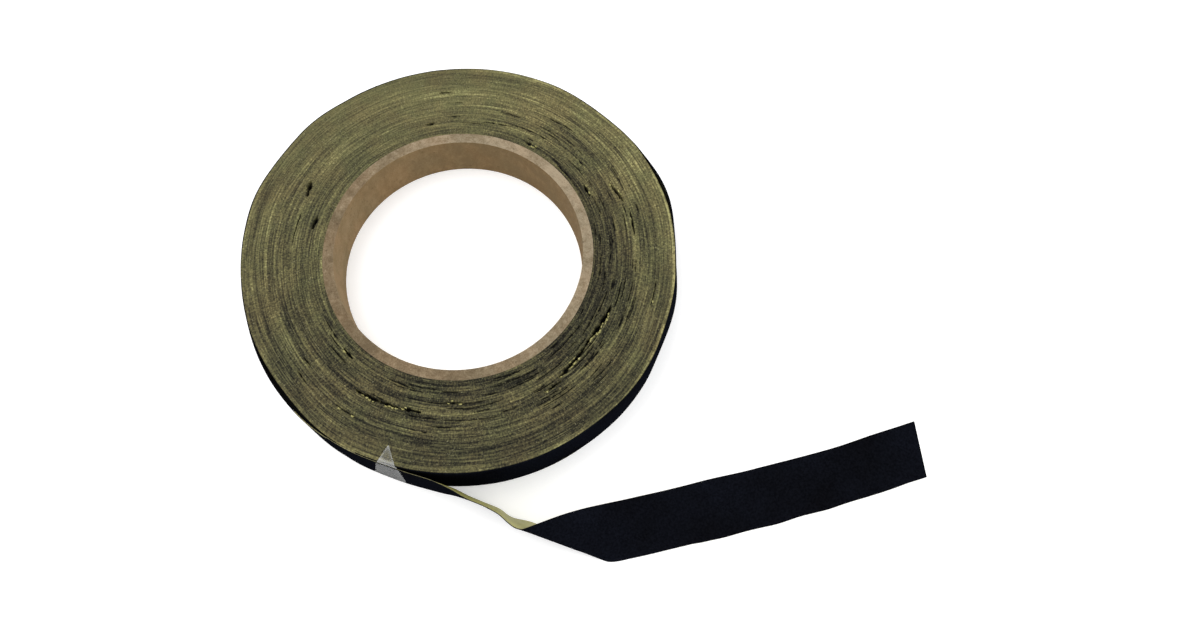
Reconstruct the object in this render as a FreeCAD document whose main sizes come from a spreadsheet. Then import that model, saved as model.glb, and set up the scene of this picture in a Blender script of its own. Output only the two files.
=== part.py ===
"""Roll of cloth grip tape on a spiral-wound paperboard core, with its free end drawn off and laid flat.

Row frame, in millimetres: +Z runs up the roll's axis from the face that it rests on, the origin is on that
axis at the resting face, and +X is the way the free end is laid. The tape is wound counterclockwise seen
from above, adhesive inwards, and leaves the roll near the front.
"""
import FreeCAD
import Part
import Sketcher
import math
import os
from FreeCAD import Placement, Rotation, Vector

DIMENSIONS = {
    # paperboard core
    "bore_radius": 38.1,
    "ply_thickness": 0.4,
    "ply_count": 8,
    "seam_gap": 0.3,
    "seam_slope": 29.0,
    "seam_first_angle": 205.0,
    "seam_step_angle": 137.5,
    # the tape, and the half turns of it on the core
    "tape_width": 17.0,
    "adhesive_thickness": 0.1,
    "backing_thickness": 0.2,
    "half_turns": 171,
    "wound_end_angle": -129.4,
    # the lead, where the tape lifts off the roll in a flatter arc than its own
    "lead_clearance": 0.2,
    "lead_flattening": 100.0,
    "lead_start_angle": -129.0,
    "lead_sweep": 5.3,
    # the film tab stuck across the lead, with a pointed tip folded over the rim
    "film_thickness": 0.08,
    "film_width": 8.9,
    "film_slant": 10.7,
    "film_place": 2.86,
    "tip_base": 7.4,
    "tip_reach": 5.1,
    "tip_skew": -2.2,
    "tip_place": 2.95,
    "tip_gap": 0.05,
    # the standing run, the crease across it, and the run that falls flat
    "peel_gap": 0.2,
    "foot_lift": 0.05,
    "stand_foot_x": -17.6,
    "stand_foot_y": -70.9,
    "stand_top_x": -16.4,
    "stand_top_y": -72.4,
    "stand_top_z": 16.9,
    "crease_foot_x": 15.9,
    "crease_foot_y": -99.8,
    "crease_top_x": -5.0,
    "crease_top_y": -85.3,
    "crease_top_z": 16.4,
    # the flat run, a sector of a very large ring
    "flat_start_x": 45.0,
    "flat_start_y": -94.9,
    "flat_heading": -4.0,
    "flat_bend_radius": 1100.0,
    "flat_length": 73.0,
    "end_cut_angle": 10.0,
    "flex_gap": 0.2,
}
FALL_STEPS = 6
SEAM_BOX_LENGTH = 44.0
SEAM_BOX_DEPTH = 12.0
MARGIN = 5.0


def make_sheet(doc):
    """The driving dimensions, one aliased cell each."""
    sheet = doc.addObject("Spreadsheet::Sheet", "dims")
    for row, (alias, value) in enumerate(DIMENSIONS.items(), start=1):
        sheet.set(f"A{row}", alias)
        sheet.set(f"B{row}", str(value))
        sheet.setAlias(f"B{row}", alias)
    doc.recompute()
    return sheet


def direction(degrees):
    """Unit vector in the XY plane."""
    return Vector(math.cos(math.radians(degrees)), math.sin(math.radians(degrees)), 0)


def primitive(doc, kind, name, **expressions):
    """A Part primitive whose sizes are bound to the sheet."""
    made = doc.addObject(kind, name)
    for size, expression in expressions.items():
        made.setExpression(size, expression)
    return made


def boolean(doc, kind, name, base, tool):
    made = doc.addObject(kind, name)
    made.Base = base
    made.Tool = tool
    return made


def core_ply(doc, dims, index):
    """One wrap of board: a thin sleeve, split where the edges of its slanting strip butt together."""
    name = f"core_ply_{index + 1}"
    outer = primitive(
        doc,
        "Part::Cylinder",
        f"{name}_outside",
        Radius=f"dims.bore_radius + {index + 1} * dims.ply_thickness",
        Height="dims.tape_width",
    )
    inner = primitive(
        doc,
        "Part::Cylinder",
        f"{name}_inside",
        Radius=f"dims.bore_radius + {index} * dims.ply_thickness",
        Height="dims.tape_width",
    )
    sleeve = boolean(doc, "Part::Cut", f"{name}_sleeve", outer, inner)
    slit = primitive(doc, "Part::Box", f"{name}_slit", Height="dims.seam_gap")
    slit.Length = SEAM_BOX_DEPTH
    slit.Width = SEAM_BOX_LENGTH
    turn = Rotation(Vector(0, 0, 1), dims.seam_first_angle + index * dims.seam_step_angle)
    tilt = Rotation(Vector(1, 0, 0), dims.seam_slope)
    middle = Placement(Vector(0, 0, dims.tape_width / 2), turn * tilt)
    corner = Vector(dims.bore_radius - SEAM_BOX_DEPTH / 2, -SEAM_BOX_LENGTH / 2, -dims.seam_gap / 2)
    slit.Placement = middle * Placement(corner, Rotation())
    ply = boolean(doc, "Part::Cut", name, sleeve, slit)
    ply.Label = name
    return ply


def spiral_side(dims, offset):
    """Half circles of a two-centre spiral: even ones are centred on the axis, odd ones half a pitch off it."""
    pitch = dims.adhesive_thickness + dims.backing_thickness
    first = dims.bore_radius + dims.ply_count * dims.ply_thickness + offset
    start = dims.wound_end_angle - 180.0 * dims.half_turns
    away = direction(dims.wound_end_angle + 180.0) * (pitch / 2)
    arcs = []
    for half in range(int(dims.half_turns)):
        from_angle = (start + 180.0 * half) % 360.0
        centre = Vector(0, 0, 0) if half % 2 == 0 else away
        radius = first + pitch * half / 2
        arcs.append(
            Part.makeCircle(radius, centre, Vector(0, 0, 1), from_angle, from_angle + 180.0)
        )
    return arcs


def wound_layer(doc, dims, label, inner_offset, outer_offset):
    """One layer of the wound tape: a single strip, spiralling out from the core to the peel line."""
    inner = spiral_side(dims, inner_offset)
    outer = spiral_side(dims, outer_offset)
    start = Part.makeLine(outer[0].Vertexes[0].Point, inner[0].Vertexes[0].Point)
    end = Part.makeLine(inner[-1].Vertexes[-1].Point, outer[-1].Vertexes[-1].Point)
    outline = Part.Wire([start] + inner + [end] + outer[::-1])
    solid = Part.Face(outline).extrude(Vector(0, 0, dims.tape_width))
    return feature(doc, label, solid)


def feature(doc, label, shape):
    made = doc.addObject("Part::Feature", label)
    made.Label = label
    made.Shape = shape
    return made


def ring_sector(doc, label, inner_radius, outer_radius, height, sweep):
    """Part of a ring from angle 0 to sweep, with every size an expression."""
    whole = primitive(
        doc, "Part::Cylinder", f"{label}_outside", Radius=outer_radius, Height=height, Angle=sweep
    )
    hole = primitive(
        doc, "Part::Cylinder", f"{label}_inside", Radius=inner_radius, Height=height, Angle=sweep
    )
    made = boolean(doc, "Part::Cut", label, whole, hole)
    made.Label = label
    return made


LEAD_RADIUS = (
    "(dims.bore_radius + dims.ply_count * dims.ply_thickness"
    " + (dims.half_turns + 1) / 2 * (dims.adhesive_thickness + dims.backing_thickness)"
    " + dims.lead_clearance + dims.lead_flattening)"
)


def lead_radius(dims):
    """Radius of the lead's adhesive face, which LEAD_RADIUS gives as an expression."""
    pitch = dims.adhesive_thickness + dims.backing_thickness
    wound = dims.bore_radius + dims.ply_count * dims.ply_thickness + (dims.half_turns + 1) / 2 * pitch
    return wound + dims.lead_clearance + dims.lead_flattening


def lead_placement(dims, turn, height=0.0):
    """Frame on the lead's centre, turned by so many degrees from where the lead starts."""
    centre = direction(dims.lead_start_angle + 180) * dims.lead_flattening
    return Placement(
        centre + Vector(0, 0, height), Rotation(Vector(0, 0, 1), dims.lead_start_angle + turn)
    )


def lead_layer(doc, dims, label, inner_offset, thickness):
    """One layer of the lead."""
    inner = f"{LEAD_RADIUS} + {inner_offset}"
    sector = ring_sector(
        doc, label, inner, f"{inner} + {thickness}", "dims.tape_width", "dims.lead_sweep * 1 deg"
    )
    sector.Placement = lead_placement(dims, 0)
    return sector


def tab_band(doc, dims):
    """The film across the lead: a slanting band cut from a shell round the backing."""
    inner = f"{LEAD_RADIUS} + dims.adhesive_thickness + dims.backing_thickness"
    shell = ring_sector(
        doc,
        "film_shell",
        inner,
        f"{inner} + dims.film_thickness",
        "dims.tape_width",
        "dims.lead_sweep * 1 deg",
    )
    shell.Placement = lead_placement(dims, 0)
    strip = primitive(doc, "Part::Box", "film_strip", Width="dims.film_width")
    strip.Length = 2 * MARGIN
    strip.Height = dims.tape_width + 2 * MARGIN
    middle = lead_placement(dims, dims.film_place, dims.tape_width / 2)
    lean = Placement(Vector(lead_radius(dims), 0, 0), Rotation(Vector(1, 0, 0), -dims.film_slant))
    corner = Vector(-MARGIN, -dims.film_width / 2, -strip.Height.Value / 2)
    strip.Placement = middle * lean * Placement(corner, Rotation())
    band = boolean(doc, "Part::Common", "tab_band", shell, strip)
    band.Label = "tab_band"
    return band


def tab_tip(doc, dims):
    """The film's pointed tip, a padded triangle lying on the roll's face just inside the rim."""
    body = doc.addObject("PartDesign::Body", "tab_tip")
    body.Label = "tab_tip"
    plane = next(o for o in body.Origin.OriginFeatures if o.Role == "XY_Plane")
    sketch = body.newObject("Sketcher::SketchObject", "tip_outline")
    sketch.AttachmentSupport = [(plane, "")]
    sketch.MapMode = "FlatFace"
    half = dims.tip_base / 2
    corners = [Vector(0, -half, 0), Vector(0, half, 0), Vector(-dims.tip_reach, dims.tip_skew, 0)]
    for start, end in zip(corners, corners[1:] + corners[:1]):
        sketch.addGeometry(Part.LineSegment(start, end), False)
    sketch.addConstraint(
        [
            Sketcher.Constraint("Coincident", 0, 2, 1, 1),
            Sketcher.Constraint("Coincident", 1, 2, 2, 1),
            Sketcher.Constraint("Coincident", 2, 2, 0, 1),
            Sketcher.Constraint("PointOnObject", 0, 1, -2),
            Sketcher.Constraint("Symmetric", 0, 1, 0, 2, -1, 1),
        ]
    )
    sizes = [
        ("DistanceY", (0, 1, 0, 2), dims.tip_base, "dims.tip_base"),
        ("DistanceX", (1, 2, -1, 1), dims.tip_reach, "dims.tip_reach"),
        ("DistanceY", (-1, 1, 1, 2), dims.tip_skew, "dims.tip_skew"),
    ]
    for kind, ends, value, expression in sizes:
        index = sketch.addConstraint(Sketcher.Constraint(kind, *ends, value))
        sketch.setExpression(f"Constraints[{index}]", expression)
    pad = body.newObject("PartDesign::Pad", "tip_pad")
    pad.Profile = sketch
    pad.setExpression("Length", "dims.film_thickness")
    rim = Placement(Vector(lead_radius(dims), 0, 0), Rotation())
    body.Placement = lead_placement(dims, dims.tip_place, dims.tape_width + dims.tip_gap) * rim
    return body


def flat_frame(dims):
    """Centre of the flat run's bend, and the placement that starts its sector there."""
    left = direction(dims.flat_heading + 90)
    centre = Vector(dims.flat_start_x, dims.flat_start_y, 0) + left * dims.flat_bend_radius
    return centre, dims.flat_heading - 90


def flat_layer(doc, dims, label, height, bottom):
    """One layer of the flat run: a sector of a very large ring, cut off at a slight angle."""
    gap_angle = math.degrees(dims.flex_gap / dims.flat_bend_radius)
    sector = ring_sector(
        doc,
        f"{label}_sector",
        "dims.flat_bend_radius - dims.tape_width / 2",
        "dims.flat_bend_radius + dims.tape_width / 2",
        height,
        "(dims.flat_length + 5) / dims.flat_bend_radius * 180 / pi * 1 deg",
    )
    centre, start_angle = flat_frame(dims)
    base = Placement(
        centre + Vector(0, 0, bottom), Rotation(Vector(0, 0, 1), start_angle + gap_angle)
    )
    sector.Placement = base
    knife = doc.addObject("Part::Box", f"{label}_knife")
    knife.Length = 4 * MARGIN
    knife.Width = dims.tape_width + 4 * MARGIN
    knife.Height = 1.0
    end_angle = start_angle + math.degrees(dims.flat_length / dims.flat_bend_radius)
    end = centre + direction(end_angle) * dims.flat_bend_radius
    heading = end_angle + 90 - dims.end_cut_angle
    knife.Placement = Placement(
        end + Vector(0, 0, bottom - knife.Height.Value / 4), Rotation(Vector(0, 0, 1), heading)
    ) * Placement(Vector(0, -knife.Width.Value / 2, 0), Rotation())
    made = boolean(doc, "Part::Cut", label, sector, knife)
    made.Label = label
    return made


def tail_edges(dims):
    """Foot edge and top edge of the adhesive face, section by section, from the peel line to the flat run."""
    width = dims.tape_width
    lift = Vector(0, 0, dims.foot_lift)
    lead_end = lead_placement(dims, dims.lead_sweep)
    peel = lead_end.multVec(Vector(lead_radius(dims), dims.peel_gap, 0))
    crease_foot = Vector(dims.crease_foot_x, dims.crease_foot_y, 0)
    crease_top = Vector(dims.crease_top_x, dims.crease_top_y, dims.crease_top_z)
    flat_middle = Vector(dims.flat_start_x, dims.flat_start_y, 0)
    across = direction(dims.flat_heading + 90) * (width / 2)
    foot = [peel + lift, Vector(dims.stand_foot_x, dims.stand_foot_y, 0) + lift, crease_foot + lift]
    top = [
        peel + Vector(0, 0, width),
        Vector(dims.stand_top_x, dims.stand_top_y, dims.stand_top_z),
        crease_top,
    ]
    for step in range(1, FALL_STEPS + 1):
        share = step / FALL_STEPS
        height = dims.crease_top_z * (1 - share) ** 2 * (1 + 2 * share)
        on_table = crease_top * (1 - share) + (flat_middle + across) * share
        foot.append(crease_foot * (1 - share) + (flat_middle - across) * share)
        top.append(Vector(on_table.x, on_table.y, height))
    return foot, top


def outward_normals(foot, top):
    """Unit normals of the backing side at each section, halfway between the panels that meet there."""
    panels = []
    for index in range(len(foot) - 1):
        along = (foot[index + 1] - foot[index]) + (top[index + 1] - top[index])
        across = (top[index] - foot[index]) + (top[index + 1] - foot[index + 1])
        panels.append(along.cross(across).normalize())
    normals = [panels[0]]
    for before, after in zip(panels, panels[1:]):
        normals.append((before + after).normalize())
    normals.append(Vector(0, 0, 1))
    return normals


def tail_layer(doc, dims, label, inner_offset, outer_offset):
    """One layer of the run from the peel line, over the crease, down to the flat run."""
    foot, top = tail_edges(dims)
    sections = []
    for low, high, normal in zip(foot, top, outward_normals(foot, top)):
        corners = [
            low + normal * inner_offset,
            high + normal * inner_offset,
            high + normal * outer_offset,
            low + normal * outer_offset,
        ]
        sections.append(Part.makePolygon(corners + corners[:1]))
    return feature(doc, label, Part.makeLoft(sections, True, True))


def build():
    doc = FreeCAD.newDocument("grip_tape_roll")
    dims = make_sheet(doc)
    adhesive = dims.adhesive_thickness
    whole = adhesive + dims.backing_thickness
    parts = [core_ply(doc, dims, index) for index in range(int(dims.ply_count))]
    parts += [
        wound_layer(doc, dims, "wound_adhesive", 0, adhesive),
        wound_layer(doc, dims, "wound_backing", adhesive, whole),
        tab_band(doc, dims),
        tab_tip(doc, dims),
        lead_layer(doc, dims, "lead_adhesive", "0", "dims.adhesive_thickness"),
        lead_layer(
            doc, dims, "lead_backing", "dims.adhesive_thickness", "dims.backing_thickness"
        ),
        tail_layer(doc, dims, "tail_adhesive", 0, adhesive),
        tail_layer(doc, dims, "tail_backing", adhesive, whole),
        flat_layer(doc, dims, "end_adhesive", "dims.adhesive_thickness", 0),
        flat_layer(doc, dims, "end_backing", "dims.backing_thickness", adhesive),
    ]
    doc.recompute()
    return doc, parts


def check(doc, parts):
    """Stops before anything is written if a feature failed or a solid is not sound."""
    for made in doc.Objects:
        if "Invalid" in made.State or "Error" in made.State:
            raise RuntimeError(f"{made.Name} failed: {made.State}")
    for part in parts:
        if part.Shape.isNull() or not part.Shape.isValid() or not part.Shape.Solids:
            raise RuntimeError(f"{part.Label} has no sound solid")
        box = part.Shape.BoundBox
        print(
            f"{part.Label}: {len(part.Shape.Solids)} solid, {part.Shape.Volume:.1f} mm3,"
            f" z {box.ZMin:.2f} to {box.ZMax:.2f}"
        )


def write(parts):
    os.makedirs("parts", exist_ok=True)
    for part in parts:
        part.Shape.exportStep(os.path.join("parts", f"{part.Label}.step"))


document, sub_parts = build()
check(document, sub_parts)
write(sub_parts)
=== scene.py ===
import math
import random

import bpy
import numpy as np
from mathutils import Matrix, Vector, noise


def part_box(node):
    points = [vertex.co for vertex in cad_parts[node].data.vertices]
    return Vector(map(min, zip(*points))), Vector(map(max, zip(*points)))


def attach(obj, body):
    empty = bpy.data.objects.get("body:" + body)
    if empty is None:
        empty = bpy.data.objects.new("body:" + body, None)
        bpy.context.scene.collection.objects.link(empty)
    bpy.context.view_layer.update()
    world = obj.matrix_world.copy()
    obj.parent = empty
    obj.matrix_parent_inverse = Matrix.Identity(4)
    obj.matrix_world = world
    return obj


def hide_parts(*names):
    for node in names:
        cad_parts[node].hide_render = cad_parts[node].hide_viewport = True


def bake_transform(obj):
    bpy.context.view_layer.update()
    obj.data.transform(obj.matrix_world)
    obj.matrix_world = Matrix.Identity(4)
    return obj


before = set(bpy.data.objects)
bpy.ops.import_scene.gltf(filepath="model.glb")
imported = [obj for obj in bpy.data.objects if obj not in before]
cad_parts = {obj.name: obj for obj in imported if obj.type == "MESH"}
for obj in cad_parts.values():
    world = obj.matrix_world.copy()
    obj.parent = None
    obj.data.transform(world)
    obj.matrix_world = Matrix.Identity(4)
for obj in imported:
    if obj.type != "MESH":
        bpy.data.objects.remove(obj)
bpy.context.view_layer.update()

MM = 0.001
CORE_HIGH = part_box("core_ply_8")[1]

# In millimetres: thickness of a ply, the tape and its adhesive, then the roll's radii and height
PLY = 0.4
TAPE = 0.3
ADHESIVE = 0.1
BORE_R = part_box("core_ply_1")[1].x / MM - PLY
CORE_R = CORE_HIGH.x / MM
ROLL_R = 67.1
TOP = CORE_HIGH.z / MM


# ---------------------------------------------------------------- mesh helpers


def make_piece(name, points, faces, materials, face_slots=None, smooth=True):
    """A mesh object from points in millimetres, with a material index for each face."""
    mesh = bpy.data.meshes.new(name)
    mesh.from_pydata((np.asarray(points, float) * MM).tolist(), [], faces)
    for material in materials:
        mesh.materials.append(material)
    if face_slots is not None:
        mesh.polygons.foreach_set("material_index", np.asarray(face_slots, np.int32))
    mesh.polygons.foreach_set("use_smooth", np.full(len(mesh.polygons), smooth))
    mesh.update()
    piece = bpy.data.objects.new(name, mesh)
    bpy.context.scene.collection.objects.link(piece)
    return piece


def set_attribute(piece, name, values):
    made = piece.data.attributes.new(name, "FLOAT", "POINT")
    made.data.foreach_set("value", np.asarray(values, np.float32))


def tube_faces(rows, columns, start=0):
    """Quads of a grid whose points are stored row by row, each row closed on itself."""
    faces = []
    for i in range(rows - 1):
        a, b = start + i * columns, start + (i + 1) * columns
        for j in range(columns):
            k = (j + 1) % columns
            faces.append((a + j, a + k, b + k, b + j))
    return faces


def end_faces(rows, columns, start=0):
    """Faces that close the two ends of the tube that tube_faces makes."""
    first = tuple(range(start, start + columns))
    last = tuple(range(start + (rows - 1) * columns, start + rows * columns))
    return [first[::-1], last]


def wobble(x, y, z=0.0):
    """Smooth noise from -1 to 1."""
    return noise.noise(Vector((x, y, z)))


def spread(x):
    """From 0 at -1 and 1 to 1 at 0, smoothly."""
    x = min(abs(x), 1.0)
    return 1 - x * x * (3 - 2 * x)


def turn_between(a, b):
    """Smallest signed angle from b to a, in degrees."""
    return (a - b + 180.0) % 360.0 - 180.0


def unit(degrees):
    """Cosine and sine of an angle in degrees."""
    return math.cos(math.radians(degrees)), math.sin(math.radians(degrees))


# ---------------------------------------------------------------- node helpers


def new_material(name):
    material = bpy.data.materials.new(name)
    material.use_nodes = True
    tree = material.node_tree
    return material, tree, tree.nodes["Principled BSDF"]


def feed(tree, target, value):
    """Links an output socket to an input, or sets the input to a plain value."""
    if isinstance(value, bpy.types.NodeSocket):
        tree.links.new(value, target)
    else:
        target.default_value = value


NUMBERED = "input_"


def add_node(tree, kind, **values):
    """A node, with its inputs set by name or by number, and its properties by name."""
    made = tree.nodes.new(kind)
    for key, value in values.items():
        if key in made.inputs:
            feed(tree, made.inputs[key], value)
        elif key.startswith(NUMBERED):
            feed(tree, made.inputs[int(key[len(NUMBERED) :])], value)
        else:
            setattr(made, key, value)
    return made


def calculate(tree, operation, a, b=0.0, c=0.0, clamp=False):
    made = add_node(
        tree, "ShaderNodeMath", operation=operation, use_clamp=clamp, input_0=a, input_1=b, input_2=c
    )
    return made.outputs[0]


def attribute_of(tree, name):
    return add_node(tree, "ShaderNodeAttribute", attribute_name=name).outputs["Fac"]


def noise_of(tree, vector, scale, detail=2.0, roughness=0.5):
    made = add_node(
        tree, "ShaderNodeTexNoise", Vector=vector, Scale=scale, Detail=detail, Roughness=roughness
    )
    return made.outputs["Fac"]


def ramp(tree, factor, stops):
    """A colour ramp with (position, colour) stops."""
    made = tree.nodes.new("ShaderNodeValToRGB")
    tree.links.new(factor, made.inputs[0])
    elements = made.color_ramp.elements
    while len(elements) < len(stops):
        elements.new(0.5)
    for element, (position, colour) in zip(elements, stops):
        element.position = position
        element.color = (*colour, 1.0)
    return made.outputs["Color"]


BLACK = (0, 0, 0)
WHITE = (1, 1, 1)


def where_high(tree, factor, low, high):
    """0 up to low and 1 from high on."""
    return ramp(tree, factor, [(low, BLACK), (high, WHITE)])


def where_low(tree, factor, low, high):
    """1 up to low and 0 from high on."""
    return ramp(tree, factor, [(low, WHITE), (high, BLACK)])


def blend_colours(tree, factor, a, b, mode="MIX"):
    made = tree.nodes.new("ShaderNodeMix")
    made.data_type = "RGBA"
    made.blend_type = mode
    for index, value in ((0, factor), (6, a), (7, b)):
        feed(tree, made.inputs[index], (*value, 1.0) if isinstance(value, tuple) else value)
    return made.outputs[2]


def bump_of(tree, height, strength, distance):
    made = add_node(tree, "ShaderNodeBump", Height=height, Strength=strength, Distance=distance)
    return made.outputs["Normal"]


def object_point(tree):
    return tree.nodes.new("ShaderNodeTexCoord").outputs["Object"]


def heading_of(tree, point):
    """Unit vector from the roll's axis towards the shaded point, level with the table."""
    parts = add_node(tree, "ShaderNodeSeparateXYZ", Vector=point).outputs
    level = add_node(tree, "ShaderNodeCombineXYZ", X=parts[0], Y=parts[1]).outputs[0]
    heading = add_node(tree, "ShaderNodeVectorMath", operation="NORMALIZE", input_0=level).outputs[0]
    return add_node(tree, "ShaderNodeSeparateXYZ", Vector=heading).outputs


def lap_point(tree, lap, heading, per_lap, round_the_roll):
    """Coordinates that run quickly across the laps and slowly along them, with no seam."""
    return add_node(
        tree,
        "ShaderNodeCombineXYZ",
        X=calculate(tree, "MULTIPLY", lap, per_lap),
        Y=calculate(tree, "MULTIPLY", heading[0], round_the_roll),
        Z=calculate(tree, "MULTIPLY", heading[1], round_the_roll),
    ).outputs[0]


# ---------------------------------------------------------------- materials


def weighted_sum(tree, start, parts):
    """start, plus each noise's distance from a half times its weight."""
    total = start
    for part, weight in parts:
        total = calculate(tree, "ADD", total, calculate(tree, "MULTIPLY_ADD", part, weight, -weight / 2))
    return total


# The shader's own specular level, for the materials that don't change it
PLAIN_SPECULAR = 0.5


def dress(tree, shader, colour, roughness, specular, normal=None):
    """Gives the shader its colour, how it reflects, and its relief."""
    feed(tree, shader.inputs["Base Color"], colour)
    feed(tree, shader.inputs["Roughness"], roughness)
    feed(tree, shader.inputs["Specular IOR Level"], specular)
    if normal is not None:
        feed(tree, shader.inputs["Normal"], normal)


# What each point of the roll's skin knows about itself, for wound_face_material
# The second of these paints shade down the slits and the crevice, the fourth paints light and shade by
# heading.
FACE_ATTRIBUTES = ("lap", "gap", "fray", "painted_tone", "strength")
FACE_SHADES = [
    (0.0, (0.0040, 0.0038, 0.0028)),
    (0.25, (0.019, 0.0181, 0.0118)),
    (0.50, (0.066, 0.0602, 0.0300)),
    (0.75, (0.140, 0.1280, 0.0560)),
    (1.0, (0.340, 0.3140, 0.1400)),
]
FACE_HUES = [(0.36, (0.95, 1.0, 0.97)), (0.66, (1.07, 1.0, 0.98))]
CRACK_COLOUR = (0.008, 0.0078, 0.006)
GLINT_COLOUR = (0.22, 0.205, 0.095)
FLECK_COLOUR = (0.36, 0.335, 0.20)
FRAY_COLOUR = (0.32, 0.29, 0.085)
# Near-black painted shade for the slits and the crevice
SLIT_SHADE_COLOUR = (0.003, 0.003, 0.003)


def wound_face_material():
    """The roll's end face: cut edges of cloth and adhesive, olive with dark and pale streaks, with shade
    painted down the slits and the crevice, and light and shade painted by heading.
    """
    material, tree, shader = new_material("wound_edges")
    point = object_point(tree)
    heading = heading_of(tree, point)
    lap, gap, fray, painted_tone, strength = (attribute_of(tree, name) for name in FACE_ATTRIBUTES)
    lines = noise_of(tree, lap_point(tree, lap, heading, 1.9, 3.0), 1.0, 3.0, 0.62)
    bands = noise_of(tree, lap_point(tree, lap, heading, 0.45, 1.3), 1.0, 2.0, 0.5)
    threads = noise_of(tree, lap_point(tree, lap, heading, 1.1, 115.0), 1.0, 2.0, 0.6)
    grain = noise_of(tree, point, 1900.0, 3.0, 0.65)
    patches = noise_of(tree, point, 60.0, 4.0, 0.6)
    texture = weighted_sum(
        tree, 0.0, [(lines, 1.35), (bands, 0.7), (threads, 0.75), (grain, 0.95), (patches, 0.4)]
    )
    # The tone attribute adds painted light and shade by heading.
    total = calculate(tree, "ADD", painted_tone, calculate(tree, "MULTIPLY", texture, strength))
    hue = ramp(tree, noise_of(tree, point, 95.0, 3.0, 0.6), FACE_HUES)
    colour = blend_colours(tree, 1.0, ramp(tree, total, FACE_SHADES), hue, "MULTIPLY")
    cracks = noise_of(tree, lap_point(tree, lap, heading, 3.1, 4.5), 1.0, 2.0, 0.55)
    dark = where_low(tree, cracks, 0.30, 0.41)
    shown = calculate(tree, "MULTIPLY", calculate(tree, "SUBTRACT", strength, 0.45, clamp=True), dark)
    colour = blend_colours(tree, shown, colour, CRACK_COLOUR)
    glints = noise_of(tree, lap_point(tree, lap, heading, 2.9, 7.0), 1.0, 2.0, 0.6)
    bright = calculate(tree, "MULTIPLY", where_high(tree, glints, 0.60, 0.69), 0.42)
    colour = blend_colours(tree, bright, colour, GLINT_COLOUR)
    flecks = noise_of(tree, lap_point(tree, lap, heading, 2.6, 140.0), 1.0, 1.0, 0.5)
    pale = calculate(tree, "MULTIPLY", where_high(tree, flecks, 0.66, 0.77), 0.45)
    colour = blend_colours(tree, pale, colour, FLECK_COLOUR)
    colour = blend_colours(tree, fray, colour, FRAY_COLOUR)
    # Painted shade: near-black down the slits and in the crevice inside the outer lap.
    colour = blend_colours(tree, gap, colour, SLIT_SHADE_COLOUR)
    height = calculate(tree, "ADD", calculate(tree, "MULTIPLY", lines, 1.2), grain)
    dress(tree, shader, colour, 0.82, 0.12, bump_of(tree, height, 0.7, 0.00028))
    return material


THREAD_SCALE = 620.0
CLOTH_SHADES = [(0.32, (0.0030, 0.0032, 0.0044)), (0.70, (0.0046, 0.0054, 0.0086))]
CLOTH_THREADS = [(0.35, (0.6, 0.6, 0.6)), (0.65, (1.25, 1.25, 1.25))]
LINT_COLOUR = (0.014, 0.014, 0.017)
KHAKI_SHADES = [(0.25, (0.27, 0.250, 0.078)), (0.5, (0.35, 0.328, 0.104)), (0.8, (0.43, 0.405, 0.145))]
EDGE_SHADES = [(0.3, (0.05, 0.047, 0.022)), (0.55, (0.16, 0.145, 0.06)), (0.8, (0.34, 0.31, 0.13))]


def cloth_height(tree, point):
    """Plain weave: crossed wave bands along all three axes, broken up a little by slubs."""
    total = noise_of(tree, point, 2600.0, 2.0)
    for axis in ("X", "Y", "Z"):
        bands = add_node(tree, "ShaderNodeTexWave", Vector=point, Scale=THREAD_SCALE, Distortion=0.4)
        bands.bands_direction = axis
        total = calculate(tree, "ADD", total, calculate(tree, "MULTIPLY", bands.outputs["Fac"], 0.5))
    return total


def backing_material():
    """Black coated cloth: a cool, matt black with a fine weave and a little lint."""
    material, tree, shader = new_material("backing_cloth")
    point = object_point(tree)
    patches = noise_of(tree, point, 45.0, 4.0, 0.6)
    lint = noise_of(tree, point, 2600.0, 2.0, 0.7)
    threads = ramp(tree, noise_of(tree, point, 1700.0, 2.0, 0.6), CLOTH_THREADS)
    colour = blend_colours(tree, 1.0, ramp(tree, patches, CLOTH_SHADES), threads, "MULTIPLY")
    specks = calculate(tree, "MULTIPLY", where_high(tree, lint, 0.70, 0.84), 0.2)
    colour = blend_colours(tree, specks, colour, LINT_COLOUR)
    rough = add_node(tree, "ShaderNodeMapRange", Value=patches, input_3=0.46, input_4=0.66).outputs[0]
    dress(tree, shader, colour, rough, 0.0, bump_of(tree, cloth_height(tree, point), 0.5, 0.0001))
    return material


def adhesive_material():
    """The tacky inner side: pale khaki, blotchy, with the cloth's weave showing through."""
    material, tree, shader = new_material("khaki_adhesive")
    point = object_point(tree)
    patches = noise_of(tree, point, 160.0, 4.0, 0.6)
    grain = noise_of(tree, point, 2200.0, 2.0, 0.6)
    mixed = calculate(tree, "ADD", patches, calculate(tree, "MULTIPLY_ADD", grain, 0.35, -0.17))
    relief = bump_of(tree, cloth_height(tree, point), 0.3, 0.00008)
    dress(tree, shader, ramp(tree, mixed, KHAKI_SHADES), 0.5, 0.18, relief)
    return material


def tape_edge_material():
    """The slit edge of the strip, where the khaki adhesive shows past the black cloth."""
    material, tree, shader = new_material("slit_edge")
    point = object_point(tree)
    grain = noise_of(tree, point, 1500.0, 3.0, 0.6)
    dress(tree, shader, ramp(tree, grain, EDGE_SHADES), 0.75, PLAIN_SPECULAR)
    return material


BOARD_END = ((0.128, 0.092, 0.053), (0.205, 0.158, 0.098), (0.31, 0.255, 0.175))
BOARD_WALL = ((0.158, 0.107, 0.051), (0.203, 0.142, 0.070), (0.249, 0.180, 0.097))
BOARD_HUES = [(0.38, (0.98, 1.0, 1.01)), (0.64, (1.045, 0.985, 0.95))]
PIT_COLOUR = (0.055, 0.038, 0.022)
FIBRE_SCALE = 560.0
FIBRE_LAYERS = 24.0


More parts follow.
